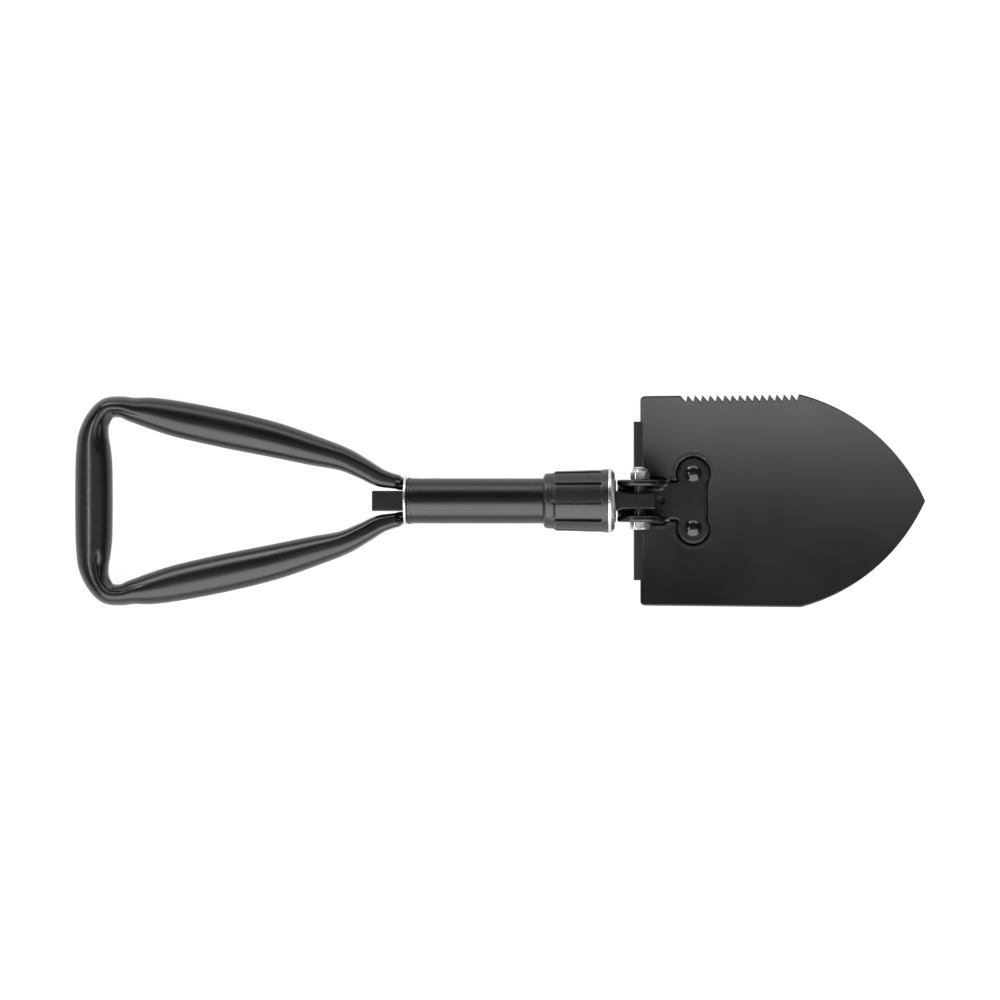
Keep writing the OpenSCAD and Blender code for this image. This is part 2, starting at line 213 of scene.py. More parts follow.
def bevelled(obj, width, segments=3, angle_deg=35):
    """The object's mesh with its sharp edges rounded; the object is removed."""
    mod = obj.modifiers.new("bevel", "BEVEL")
    mod.width = width
    mod.segments = segments
    mod.limit_method = "ANGLE"
    mod.angle_limit = math.radians(angle_deg)
    mod.harden_normals = False
    return baked_mesh(obj)


# ---------------------------------------------------------------- materials

def node_material(name):
    """An empty node material: the material, its tree, its shader and the object's own coordinates."""
    mat = bpy.data.materials.new(name)
    mat.use_nodes = True
    tree = mat.node_tree
    tree.nodes.clear()
    out = tree.nodes.new("ShaderNodeOutputMaterial")
    shader = tree.nodes.new("ShaderNodeBsdfPrincipled")
    tree.links.new(shader.outputs["BSDF"], out.inputs["Surface"])
    coords = tree.nodes.new("ShaderNodeTexCoord")
    return mat, tree, shader, coords.outputs["Object"]


def noise(tree, coords, scale, detail=3.0, roughness=0.5, stretch=(1, 1, 1)):
    """A noise texture's value over the object."""
    mapping = tree.nodes.new("ShaderNodeMapping")
    mapping.inputs["Scale"].default_value = stretch
    tree.links.new(coords, mapping.inputs["Vector"])
    tex = tree.nodes.new("ShaderNodeTexNoise")
    tex.inputs["Scale"].default_value = scale
    tex.inputs["Detail"].default_value = detail
    tex.inputs["Roughness"].default_value = roughness
    tree.links.new(mapping.outputs["Vector"], tex.inputs["Vector"])
    return tex.outputs["Fac"]


def ramp(tree, value, low, high, pos_low=0.35, pos_high=0.65):
    """Maps a 0 to 1 value between two colours or two numbers."""
    node = tree.nodes.new("ShaderNodeValToRGB")
    node.color_ramp.elements[0].position = pos_low
    node.color_ramp.elements[1].position = pos_high
    as_colour = [(c, c, c, 1) if isinstance(c, float) else (*c, 1) for c in (low, high)]
    node.color_ramp.elements[0].color = as_colour[0]
    node.color_ramp.elements[1].color = as_colour[1]
    tree.links.new(value, node.inputs["Fac"])
    return node.outputs["Color"]


def bump(tree, shader, height, strength, distance):
    """Makes a height stand out of the surface by a distance in metres."""
    node = tree.nodes.new("ShaderNodeBump")
    node.inputs["Strength"].default_value = strength
    node.inputs["Distance"].default_value = distance
    tree.links.new(height, node.inputs["Height"])
    tree.links.new(node.outputs["Normal"], shader.inputs["Normal"])


def powder_coat(name, colour, rough, grain, depth):
    """Baked black coating: fine orange-peel grain, slightly uneven gloss and shade."""
    mat, tree, shader, coords = node_material(name)
    dark = tuple(c * 0.8 for c in colour)
    light = tuple(c * 1.25 for c in colour)
    tree.links.new(ramp(tree, noise(tree, coords, 60, 4), dark, light), shader.inputs["Base Color"])
    shade = ramp(tree, noise(tree, coords, 25, 5, 0.6), rough - 0.03, rough + 0.04)
    tree.links.new(shade, shader.inputs["Roughness"])
    shader.inputs["Specular IOR Level"].default_value = 0.5
    bump(tree, shader, noise(tree, coords, grain, 2, 0.55), 0.35, depth)
    return mat


def moulded_plastic(name, colour, rough):
    """Satin moulded plastic with a fine spark-eroded grain."""
    mat, tree, shader, coords = node_material(name)
    dark = tuple(c * 0.9 for c in colour)
    light = tuple(c * 1.12 for c in colour)
    tree.links.new(ramp(tree, noise(tree, coords, 90, 3), dark, light), shader.inputs["Base Color"])
    gloss = ramp(tree, noise(tree, coords, 700, 2), rough - 0.04, rough + 0.05)
    tree.links.new(gloss, shader.inputs["Roughness"])
    bump(tree, shader, noise(tree, coords, 1600, 2), 0.25, 0.00004)
    return mat


def zinc_plate(name, rough):
    """Bright zinc plating with a faint blue cast and a slightly uneven surface."""
    mat, tree, shader, coords = node_material(name)
    shader.inputs["Metallic"].default_value = 1.0
    shade = ramp(tree, noise(tree, coords, 160, 3), (0.62, 0.64, 0.68), (0.72, 0.74, 0.78))
    tree.links.new(shade, shader.inputs["Base Color"])
    gloss = ramp(tree, noise(tree, coords, 400, 3), rough - 0.03, rough + 0.05)
    tree.links.new(gloss, shader.inputs["Roughness"])
    bump(tree, shader, noise(tree, coords, 500, 2, 0.5), 0.05, 0.00001)
    return mat


def soft_rubber(name):
    """Dull black rubber."""
    mat, tree, shader, coords = node_material(name)
    shade = ramp(tree, noise(tree, coords, 120, 3), (0.014,) * 3, (0.024,) * 3)
    tree.links.new(shade, shader.inputs["Base Color"])
    shader.inputs["Roughness"].default_value = 0.75
    bump(tree, shader, noise(tree, coords, 1200, 2), 0.3, 0.00004)
    return mat


tube_paint = powder_coat("tube_paint", (0.002, 0.002, 0.0022), 0.30, 900, 0.00002)
blade_paint = powder_coat("blade_paint", (0.002, 0.002, 0.0022), 0.40, 1100, 0.00005)
rivet_paint = powder_coat("rivet_paint", (0.005, 0.005, 0.0055), 0.16, 700, 0.00001)
grip_plastic = moulded_plastic("grip_plastic", (0.009, 0.009, 0.0095), 0.34)
bright_zinc = zinc_plate("bright_zinc", 0.28)
white_nylon = moulded_plastic("white_nylon", (0.62, 0.68, 0.76), 0.4)
# Near-black coat for the bolt's shank between the ears: painted shade for the shadow there, not a different
# steel.
shank_painted_shade = powder_coat("shank_painted_shade", (0.03, 0.03, 0.032), 0.34, 700, 0.00001)
black_rubber = soft_rubber("black_rubber")


# ---------------------------------------------------------------- handle

# Stations along one half, from the middle of the grip to the end inside the shaft: distance behind
# the shaft tube and distance off the axis, as shares of the handle's length and width; the tube's
# width and height in millimetres; how far its inner wall is folded in; how square its section is.
HANDLE_STATIONS = [
    (0.943, 0.000, 20.6, 20.0, 0.00, 0.00), (0.943, 0.160, 20.2, 20.0, 0.00, 0.00),
    (0.944, 0.240, 19.0, 20.4, 0.05, 0.00), (0.944, 0.310, 16.8, 20.8, 1.00, 0.00),
    (0.932, 0.382, 13.6, 22.0, 1.00, 0.00),
    (0.903, 0.440, 11.8, 22.6, 1.00, 0.00), (0.862, 0.449, 11.6, 22.4, 0.80, 0.00),
    (0.821, 0.434, 13.8, 21.6, 0.30, 0.00), (0.768, 0.419, 17.2, 20.8, 0.00, 0.00),
    (0.680, 0.388, 19.9, 20.2, 0.00, 0.00), (0.542, 0.342, 20.6, 20.0, 0.00, 0.00),
    (0.403, 0.293, 19.4, 20.2, 0.00, 0.05), (0.282, 0.241, 16.4, 20.8, 0.00, 0.20),
    (0.193, 0.201, 13.2, 21.2, 0.00, 0.50), (0.133, 0.156, 11.4, 20.8, 0.00, 0.80),
    (0.083, 0.113, 10.0, 19.0, 0.00, 1.00), (0.042, 0.095, 8.2, 17.4, 0.00, 1.00),
    (0.027, 0.090, 7.6, 16.6, 0.00, 1.00), (0.011, 0.071, 4.6, 10.6, 0.00, 0.40),
    (-0.105, 0.070, 4.4, 10.0, 0.00, 0.20),
]
HANDLE_WIDTH = 114 * MM
HANDLE_RINGS = 10
HANDLE_SIDES = 144


def catmull_rom(rows, i, t):
    """Row of values at share t between rows i and i + 1."""
    last = len(rows) - 1
    a, b, c, d = (np.array(rows[min(max(k, 0), last)]) for k in (i - 1, i, i + 1, i + 2))
    return b + 0.5 * t * (c - a + t * (2 * a - 5 * b + 4 * c - d + t * (3 * (b - c) + d - a)))


def handle_section(width, height, fold, square, pocket):
    """Closed section as (across, up) points. Angle 0 is the outer side, 90 the top."""
    points = []
    power = 1 - 0.42 * square
    for s in range(HANDLE_SIDES):
        deg = 360 * s / HANDLE_SIDES
        from_outer = min(deg, 360 - deg)
        a = math.radians(deg)
        c, v = math.cos(a), math.sin(a)
        across = math.copysign(abs(c) ** power, c) * width / 2
        up = math.copysign(abs(v) ** power, v) * height / 2
        lip = smooth((from_outer - 104) / 7)
        crease = math.exp(-((from_outer - 111) / 4.5) ** 2)
        dent = math.exp(-((from_outer - 150) / 26) ** 2)
        up *= 1 - fold * (0.13 * lip + 0.09 * crease) - pocket * 0.35 * dent
        points.append((across, up))
    return points


def build_handle():
    """Closed triangular tube: the stations of one half, mirrored, with a section swept along them."""
    tube_low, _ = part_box("shaft_tube")
    low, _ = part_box("handle_tube")
    length = tube_low.x - low.x - HANDLE_STATIONS[0][2] / 2 * MM
    length /= HANDLE_STATIONS[0][0]
    half = []
    for i in range(len(HANDLE_STATIONS) - 1):
        for s in range(HANDLE_RINGS):
            half.append(catmull_rom(HANDLE_STATIONS, i, s / HANDLE_RINGS))
    half.append(np.array(HANDLE_STATIONS[-1]))
    mirrored = [row * np.array([1, -1, 1, 1, 1, 1]) for row in half[:0:-1]]
    path = mirrored + half
    centres = [Vector((tube_low.x - row[0] * length, row[1] * HANDLE_WIDTH, 0)) for row in path]
    verts = []
    last = len(path) - 1
    for i, row in enumerate(path):
        along = (centres[min(i + 1, last)] - centres[max(i - 1, 0)]).normalized()
        outward = Vector((-along.y, along.x, 0))
        pocket = math.exp(-((abs(row[1]) - 0.425) / 0.03) ** 2) if row[0] > 0.88 else 0.0
        section = handle_section(row[2] * MM, row[3] * MM, max(row[4], 0), max(row[5], 0), pocket)
        verts += [centres[i] + outward * u + Vector((0, 0, v)) for u, v in section]
    faces = grid_faces(len(path), HANDLE_SIDES, wrap_cols=True)
    faces.append(tuple(range(HANDLE_SIDES)))
    faces.append(tuple(range(last * HANDLE_SIDES, (last + 1) * HANDLE_SIDES))[::-1])
    make_piece("handle_loop", verts, faces, "shaft", "black_paint", tube_paint, ["handle_tube"], 50)


def build_spacer():
    """Square block between the two tube ends."""
    low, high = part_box("handle_spacer")
    outline = [(low.x, low.y), (high.x, low.y), (high.x, high.y), (low.x, high.y)]
    block = raw_object("spacer_raw", *extruded(outline, low.z, high.z))
    mesh = bevelled(block, 0.7 * MM)
    finish_piece("spacer_block", mesh, "shaft", tube_paint, ["handle_spacer"], 32, True)


# ---------------------------------------------------------------- shaft

def build_shaft():
    """Shaft tube with a rolled bead at its handle end, and the bright ring in front of the bead."""
    low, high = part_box("shaft_tube")
    outer = 12.3 * MM
    inner = outer - 1.5 * MM
    bead = outer + 0.4 * MM
    x0, x1 = low.x, high.x
    profile = rounded([
        (x0, inner, 0), (x0, bead - 0.2 * MM, 0.3 * MM), (x0 + 0.35 * MM, bead - 0.9 * MM, 0.1 * MM),
        (x0 + 0.7 * MM, bead, 0.35 * MM), (x0 + 2.1 * MM, bead, 0.5 * MM), (x0 + 3.0 * MM, outer, 0.6 * MM),
        (x1, outer, 0.2 * MM), (x1, inner, 0),
    ])
    make_piece("shaft_sleeve", *lathe(profile, 128), "shaft", "black_paint", tube_paint, ["shaft_tube"])
    low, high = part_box("shaft_ferrule")
    ring = rounded([
        (low.x, inner + 0.1 * MM, 0), (low.x, high.z, 0.45 * MM), (high.x, high.z, 0.3 * MM),
        (high.x, inner + 0.1 * MM, 0),
    ])
    make_piece("ferrule_ring", *lathe(ring, 128), "shaft", "zinc_plate", bright_zinc, ["shaft_ferrule"])


def build_tongue():
    """Flat bar out of the barrel with a flared root and softened edges."""
    low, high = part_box("hinge_tongue")
    half_h, tip = high.z, high.x
    thick, root = 4.5 * MM, 5.5 * MM
    root_x = hinge.x - 12 * MM
    start_x = root_x - 11 * MM

    def ring(x, wy, hz, corner):
        """Rounded rectangle across the bar at x, with half width wy and half height hz."""
        signs = ((1, 1), (-1, 1), (-1, -1), (1, -1))
        return [(x, y, z) for y, z in rounded([(a * wy, b * hz, corner) for a, b in signs], 5)]

    soft = 0.9 * MM
    rings = [ring(start_x, root, half_h, soft)]
    flare_steps = 12
    for s in range(flare_steps + 1):
        t = s / flare_steps
        rings.append(ring(root_x + (4.0 * t - 1.0) * MM, root + (thick - root) * smooth(t), half_h, soft))
    rings.append(ring(hinge.x, thick, half_h, soft))
    edge = 0.6 * MM
    for s in range(6):
        a = math.pi / 2 * s / 5
        inset = edge * (1 - math.cos(a))
        rings.append(ring(tip - edge + edge * math.sin(a), thick - inset, half_h - inset, soft - 0.5 * inset))
    n = len(rings[0])
    verts = [p for r in rings for p in r]
    faces = grid_faces(len(rings), n, wrap_cols=True)
    faces.append(tuple(range(n)))
    faces.append(tuple(range((len(rings) - 1) * n, len(rings) * n))[::-1])
    bar = raw_object("tongue_raw", verts, faces)
    bar = combine(bar, raw_object("tongue_hole", *hinge_cylinder(3.06 * MM, -8 * MM, 8 * MM)), "DIFFERENCE")
    shank = raw_object("shank_raw", *rod_along_x(low.x, start_x + MM, 7 * MM))
    bar = combine(bar, shank, "UNION")
    mesh = baked_mesh(bar)
    finish_piece("tongue_bar", mesh, "shaft", tube_paint, ["hinge_tongue"], 32, True)


def hinge_cylinder(radius, y0, y1, segments=48):
    """Closed cylinder along Y on the hinge axis."""
    outline = [
        (hinge.x + radius * math.cos(TAU * s / segments), hinge.z + radius * math.sin(TAU * s / segments))
        for s in range(segments)
    ]
    return extruded(outline, y0, y1, "y")


def rod_along_x(x0, x1, radius, segments=48):
    """Closed cylinder on the shaft's axis."""
    verts = [
        (x, radius * math.cos(TAU * s / segments), radius * math.sin(TAU * s / segments))
        for x in (x0, x1) for s in range(segments)
    ]
    faces = grid_faces(2, segments, wrap_cols=True)
    faces += [tuple(range(segments)), tuple(range(2 * segments - 1, segments - 1, -1))]
    return verts, faces


# ---------------------------------------------------------------- collar

GROOVE_PHASE = math.radians(-2.4)
GROOVES = 10
GROOVE_HALF = 1.1 * MM


def lerp_profile(knots, x):
    """Value at x on a chain of (x, value) knots, eased between them."""
    for (x0, v0), (x1, v1) in zip(knots, knots[1:]):
        if x <= x1:
            return v0 + (v1 - v0) * smooth((x - x0) / (x1 - x0))
    return knots[-1][1]


def build_grip():
    """Plastic grip: rounded neck, ten pads with narrow grooves between them, flared front."""
    low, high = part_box("collar_grip")
    x0, x1 = low.x, high.x
    bore = 12.75 * MM
    skin = [(0, 14.6), (2.0, 14.95), (5.4, 15.15), (7.0, 16.25), (31.0, 16.8), (32.6, 17.1), (35.2, 17.3)]
    skin = [(x * MM, r * MM) for x, r in skin]
    groove_x0, groove_x1 = 5.7 * MM, 31.2 * MM
    stops = [0.0, 0.12, 0.35, 0.7, 1.2, 1.8, 2.5, 3.3, 4.0, 4.4]
    stops += [4.7, 5.0, 5.3, 5.6, 5.9, 6.2, 6.5, 6.8, 7.1, 7.6]
    stops += [8.5 + 1.5 * i for i in range(15)]
    stops += [30.2, 30.6, 30.9, 31.1, 31.3, 31.5, 31.8, 32.2, 32.6, 33.2, 34.0, 34.6, 34.9, 35.1, 35.2]
    offsets = [-18, -14, -10, -7.4, -5.8, -5.0, -4.5, -4.1, -3.7, -3.2, -2.2, -0.9,
               0.9, 2.2, 3.2, 3.7, 4.1, 4.5, 5.0, 5.8, 7.4, 10, 14]
    angles = [
        GROOVE_PHASE + math.radians(36 * k + o) for k in range(GROOVES) for o in offsets
    ]
    span = x1 - x0
    verts = []
    for stop in stops:
        x = stop * MM
        base = lerp_profile(skin, x)
        edge = 1.7 * MM
        if x < edge:
            base -= edge - math.sqrt(edge ** 2 - (edge - x) ** 2)
        for k, a in enumerate(angles):
            off = math.radians(offsets[k % len(offsets)])
            aside = abs(off) * base
            past_left = max(groove_x0 - x, 0)
            past_right = max(x - groove_x1, 0)
            gap = math.hypot(aside, past_left) + past_right * 3 - GROOVE_HALF
            inside = smooth(0.5 - gap / (0.36 * MM))
            floor = 14.85 * MM + 0.01 * x
            r = base + (min(floor, base) - base) * inside
            verts.append((x0 + x * span / (35.2 * MM), r * math.sin(a), r * math.cos(a)))
    n = len(angles)
    inner = [(35.2 * MM, 14.05 * MM), (8.9 * MM, 14.05 * MM), (8.9 * MM, bore), (0.0, bore)]
    for x, r in inner:
        verts += [(x0 + x * span / (35.2 * MM), r * math.sin(a), r * math.cos(a)) for a in angles]
    rows = len(stops) + len(inner)
    faces = grid_faces(rows, n, wrap_cols=True)
    faces += [
        ((rows - 1) * n + c, (rows - 1) * n + (c + 1) % n, (c + 1) % n, c) for c in range(n)
    ]
    make_piece("grip_shell", verts, faces, "collar", "grip_plastic", grip_plastic, ["collar_grip"], 40)


def build_collar_metal():
    """Threaded insert of the collar, with its bright rim and the recess for the thrust washer."""
    low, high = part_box("collar_nut")
    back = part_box("collar_grip")[1].x + 0.05 * MM
    washer_low, washer_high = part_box("thrust_washer")
    rim = high.z
    recess = washer_high.z + 0.35 * MM
    floor = washer_low.x - 0.15 * MM
    profile = rounded([
        (low.x, 12.1 * MM, 0), (low.x, 14.0 * MM, 0.4 * MM), (back, 14.0 * MM, 0), (back, rim, 0.4 * MM),
        (high.x - 1.9 * MM, rim, 0.25 * MM), (high.x, rim - 2.1 * MM, 0.3 * MM),
        (high.x, recess + 0.4 * MM, 0.2 * MM), (high.x - 0.4 * MM, recess, 0), (floor, recess, 0),
        (floor, 9.4 * MM, 0.2 * MM),
        (floor - 2.3 * MM, 9.4 * MM, 0.2 * MM), (floor - 2.3 * MM, 12.1 * MM, 0),
    ])
    make_piece("collar_insert", *lathe(profile, 144), "collar", "zinc_plate", bright_zinc, ["collar_nut"])


def build_washer():
    """Thrust disc with a slot for the tongue."""
    low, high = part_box("thrust_washer")
    disc = raw_object("washer_raw", *rod_along_x(low.x, high.x, high.z, 96))
    half_t, half_h = 5.65 * MM, 7.75 * MM
    slot_outline = [(half_t, half_h), (-half_t, half_h), (-half_t, -half_h), (half_t, -half_h)]
    verts = [(x, y, z) for x in (low.x - MM, high.x + MM) for y, z in slot_outline]
    faces = grid_faces(2, 4, wrap_cols=True) + [(0, 1, 2, 3), (7, 6, 5, 4)]
    disc = combine(disc, raw_object("washer_slot", verts, faces), "DIFFERENCE")
    mesh = bevelled(disc, 0.3 * MM, 2)
    finish_piece("thrust_disc", mesh, "thrust", tube_paint, ["thrust_washer"], 32, True)


# ---------------------------------------------------------------- bolt and rivets

def hex_radius(angle, flat, soften):
    """Radius of a hexagon of that half width across flats, with softened corners."""
    a = (angle + math.pi / 6) % (math.pi / 3) - math.pi / 6
    return min(flat / math.cos(a), flat * (1 + soften))


def hex_solid(y0, y1, flat, turn, chamfer_y0, chamfer_y1, inner=0.0):
    """Hexagonal prism along Y on the hinge axis, its corners chamfered at either end."""
    segments = 120
    levels = [0, 0.04, 0.1, 0.18, 0.28, 0.5, 0.72, 0.82, 0.9, 0.96, 1]
    verts = []
    height = y1 - y0
    for t in levels:
        y = y0 + height * t
        for s in range(segments):
            a = TAU * s / segments + turn
            r = hex_radius(a - turn, flat, 0.115)
            if chamfer_y0:
                r = min(r, flat * 0.97 + abs(y - y0) * 1.6)
            if chamfer_y1:
                r = min(r, flat * 0.97 + abs(y1 - y) * 1.6)
            verts.append((hinge.x + r * math.sin(a), y, hinge.z + r * math.cos(a)))
    faces = grid_faces(len(levels), segments, wrap_cols=True)
    if inner:
        for y in (y1, y0):
            verts += [
                (hinge.x + inner * math.sin(TAU * s / segments + turn), y,
                 hinge.z + inner * math.cos(TAU * s / segments + turn))
                for s in range(segments)
            ]
        rows = len(levels) + 2
        faces = grid_faces(rows, segments, wrap_cols=True)
        faces += [((rows - 1) * segments + c, (rows - 1) * segments + (c + 1) % segments,
                   (c + 1) % segments, c) for c in range(segments)]
    else:
        faces.append(tuple(range(segments)))
        faces.append(tuple(range(segments * (len(levels) - 1), segments * len(levels)))[::-1])
    return verts, faces


def turned_y(profile, segments=64):
    """Closed (y, r) profile turned about the hinge axis."""
    n = len(profile)
    verts = [
        (hinge.x + r * math.sin(TAU * s / segments), y, hinge.z + r * math.cos(TAU * s / segments))
        for s in range(segments) for y, r in profile
    ]
    faces = [
        (s * n + i, s * n + (i + 1) % n, (s + 1) % segments * n + (i + 1) % n, (s + 1) % segments * n + i)
        for s in range(segments) for i in range(n)
    ]
    return verts, faces


def joined(parts):
    """One list of points and faces from several."""
    verts, faces = [], []
    for v, f in parts:
        start = len(verts)
        verts += v
        faces += [tuple(start + i for i in face) for face in f]
    return verts, faces


def build_bolt():
    """Hinge bolt: a bright hexagon head on a shank painted near-black between the ears, as painted shade
    where the ears shadow it.
    """
    low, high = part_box("pivot_bolt")
    ears_low = -EARS_HALF
    flat = 5.0 * MM
    head = hex_solid(low.y, ears_low, flat, math.radians(-7), True, False)
    shank_r = 3.0 * MM
    tip = high.y
    start = ears_low - 0.5 * MM
    shank = turned_y(rounded([
        (start, 0.0, 0), (start, shank_r, 0), (tip, shank_r, 0.6 * MM), (tip, 0.0, 0),
    ], 5), 64)
    solid = joined([head, shank])
    bolt = make_piece("hinge_bolt", *solid, "blade", "zinc_plate", bright_zinc, ["pivot_bolt"], 25)
    # The shank's faces between the ears take the near-black coat: painted shade.
    bolt.data.materials.append(shank_painted_shade)
    for face in bolt.data.polygons:
        middle = face.center
        if abs(middle.y) < EARS_HALF and math.hypot(middle.x - hinge.x, middle.z - hinge.z) < 1.1 * shank_r:
            face.material_index = 1


def build_nut():
    """Lock nut with a stepped crown, and the nylon ring inside it."""
    low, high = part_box("pivot_nut")
    flat = 4.8 * MM
    hex_top = low.y + 4.4 * MM
    body = hex_solid(low.y, hex_top, flat, math.radians(-1), True, True, inner=3.02 * MM)
    crown = turned_y(rounded([
        (hex_top - 0.2 * MM, 3.05 * MM, 0), (hex_top - 0.2 * MM, 4.45 * MM, 0),
        (high.y, 4.45 * MM, 0.9 * MM), (high.y, 3.9 * MM, 0.1 * MM),
        (high.y - 0.35 * MM, 3.9 * MM, 0), (high.y - 0.35 * MM, 3.05 * MM, 0),
    ], 5), 64)
    make_piece("lock_nut", *joined([body, crown]), "blade", "zinc_plate", bright_zinc, ["pivot_nut"], 25)
    low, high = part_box("nut_insert")
    ring = turned_y(rounded([
        (low.y, 3.03 * MM, 0), (low.y, 3.8 * MM, 0),
        (high.y, 3.8 * MM, 0.2 * MM), (high.y, 3.03 * MM, 0.2 * MM),
    ], 3), 48)
    make_piece("nylon_ring", *ring, "blade", "nylon", white_nylon, ["nut_insert"])


def build_rivets():
    """Two round-headed rivets through the bracket's foot and the blade."""
    low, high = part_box("blade_rivets")
    dome_r, dome_h = 4.75 * MM, high.z - FOOT_TOP
    ball_r = (dome_r ** 2 + dome_h ** 2) / (2 * dome_h)
    back = low.z
    x = (low.x + high.x) / 2
    gap = high.y - dome_r
    segments, steps = 64, 14
    seat = FOOT_TOP - 0.02 * MM
    shank_r = 2.5 * MM
    profile = [(0.0, back), (3.6 * MM, back), (4.05 * MM, back + 0.3 * MM), (4.1 * MM, back + 1.0 * MM)]
    profile += [(shank_r, back + 1.15 * MM), (shank_r, seat), (dome_r, seat)]
    widest = math.asin(dome_r / ball_r)
    for s in range(steps + 1):
        a = widest * (1 - s / steps)
        profile.append((ball_r * math.sin(a), high.z - ball_r * (1 - math.cos(a))))
    parts = []
    for side in (-1, 1):
        verts = [
            (x + r * math.cos(TAU * k / segments), side * gap + r * math.sin(TAU * k / segments), z)
            for r, z in profile for k in range(segments)
        ]
        parts.append((verts, grid_faces(len(profile), segments, wrap_cols=True)))
    make_piece("rivet_pair", *joined(parts), "blade", "rivet_paint", rivet_paint, ["blade_rivets"], 60)


# ---------------------------------------------------------------- bracket

FLAT_R = 12.5 * MM
EARS_HALF = 11.5 * MM
EAR_T = 3.5 * MM
FOOT_TOP = -19.0 * MM
FOOT_BOTTOM = -22.0 * MM


def arc(cx, cy, radius, start_deg, end_deg, steps):
    """Points along an arc, both ends included."""
    return [
        (cx + radius * math.cos(math.radians(start_deg + (end_deg - start_deg) * s / steps)),
         cy + radius * math.sin(math.radians(start_deg + (end_deg - start_deg) * s / steps)))
        for s in range(steps + 1)
    ]


def foot_outline(grow=0.0):
    """Bracket's foot as (x, y) from the hinge, grown all round: ear part, neck, bar and two lobes."""
    lobe_x, lobe_y, lobe_r = 29.0 * MM, 15.0 * MM, 7.8 * MM
    front, neck, ears = 35.4 * MM, 9.5 * MM, EARS_HALF
    dip, throat = 1.6 * MM, 2.4 * MM
    dip_x = front + dip
    dip_y = lobe_y - math.sqrt((lobe_r + dip) ** 2 - (dip_x - lobe_x) ** 2)
    dip_deg = math.degrees(math.atan2(lobe_y - dip_y, lobe_x - dip_x))
    throat_y = neck + throat
    throat_x = lobe_x - math.sqrt((lobe_r + throat) ** 2 - (lobe_y - throat_y) ** 2)
    throat_deg = math.degrees(math.atan2(lobe_y - throat_y, lobe_x - throat_x))
    half = arc(dip_x, dip_y, dip - grow, 180, dip_deg, 6)
    half += arc(lobe_x, lobe_y, lobe_r + grow, dip_deg - 180, throat_deg + 180, 40)
    half += arc(throat_x, throat_y, throat - grow, throat_deg, -90, 8)
    half += [(FLAT_R + grow + 1.6 * MM, neck + grow), (FLAT_R + grow + 0.4 * MM, neck + grow + 0.5 * MM)]
    half += [(FLAT_R + grow, ears + grow - 0.6 * MM), (FLAT_R + grow - 0.6 * MM, ears + grow)]
    half += [(-FLAT_R - grow, ears + grow)]
    half = [p for i, p in enumerate(half) if i == 0 or math.dist(p, half[i - 1]) > 1e-6]
    return half + [(x, -y) for x, y in half[::-1]]


def ear_outline(steps=14):
    """Side view of an ear, as (x, z) from the hinge."""
    f = FLAT_R
    return rounded([
        (-f, f, 11.6 * MM), (f, f, 11.6 * MM), (f, FOOT_TOP + 0.4 * MM, 3.6 * MM),
        (f + 4.0 * MM, FOOT_TOP - 0.2 * MM, 0.6 * MM), (f + 4.0 * MM, FOOT_BOTTOM + 0.8 * MM, 0),
        (-f, FOOT_BOTTOM + 0.8 * MM, 0),
    ], steps)


def shrunk(outline, inset):
    """A closed outline moved inwards along its own normals."""
    moved = []
    count = len(outline)
    for i, here in enumerate(outline):
        before, after = Vector(outline[i - 1]), Vector(outline[(i + 1) % count])
        along = (after - before).normalized()
        moved.append((here[0] + along.y * inset, here[1] - along.x * inset))
    return moved


def ear_plate(y0, y1):
    """One ear between two Y planes, with fully rounded rims."""
    outline = [(hinge.x + x, z) for x, z in ear_outline()]
    soft, steps = 1.35 * MM, 8
    verts, count = [], len(outline)
    for end, y_face in ((1, y0), (-1, y1)):
        for s in range(steps + 1):
            a = math.pi / 2 * (s if end > 0 else steps - s) / steps
            inset = soft * (1 - math.sin(a))
            y = y_face + end * soft * (1 - math.cos(a))
            verts += [(x, y, z) for x, z in shrunk(outline, inset)]
    rows = 2 * (steps + 1)
    faces = grid_faces(rows, count, wrap_cols=True)
    faces += [tuple(range(count)), tuple(range(rows * count - 1, (rows - 1) * count - 1, -1))]
    return verts, faces


def bend_strip(side):
    """The rounded inside corner between an ear and the foot, as a bar along X."""
    inner, bend = EARS_HALF - EAR_T, 2.5 * MM
    section = arc(inner - bend, FOOT_TOP + bend, bend, -90, 0, 8)
    section += [(inner + MM, FOOT_TOP + bend), (inner + MM, FOOT_TOP - MM), (inner - bend, FOOT_TOP - MM)]
    reach = FLAT_R - 0.3 * MM
    verts = [(hinge.x + x, side * y, z) for x in (-reach, reach) for y, z in section]
    n = len(section)
    return verts, grid_faces(2, n, wrap_cols=True) + [tuple(range(n)), tuple(range(2 * n - 1, n - 1, -1))]


def build_bracket():
    """Pressed bracket: ears and foot cut from simple solids, then fused and softened like sheet."""
    at_hinge = [(hinge.x + x, y) for x, y in foot_outline()]
    foot = raw_object("foot_raw", *extruded(at_hinge, FOOT_BOTTOM, FOOT_TOP))
    drain = [
        (hinge.x + 11.2 * MM + 2 * MM * math.cos(TAU * s / 32), 2 * MM * math.sin(TAU * s / 32))
        for s in range(32)
    ]
    mesh = baked_mesh(combine(foot, raw_object("drain", *extruded(drain, -30 * MM, -10 * MM)), "DIFFERENCE"))
    parts = [([tuple(v.co) for v in mesh.vertices], [tuple(f.vertices) for f in mesh.polygons])]
    for side in (-1, 1):
        near, far = sorted((side * (EARS_HALF - EAR_T), side * EARS_HALF))
        parts += [ear_plate(near, far), bend_strip(side)]
    solid = raw_object("bracket_raw", *joined(parts))
    grain = solid.modifiers.new("voxels", "REMESH")
    grain.mode = "VOXEL"
    grain.voxel_size = 0.28 * MM
    grain.use_smooth_shade = True
    soften = solid.modifiers.new("soften", "SMOOTH")
    soften.factor = 0.5
    soften.iterations = 6
    mesh = baked_mesh(solid)
    finish_piece("bracket_channel", mesh, "blade", tube_paint, ["hinge_bracket"], 180)


# ---------------------------------------------------------------- blade

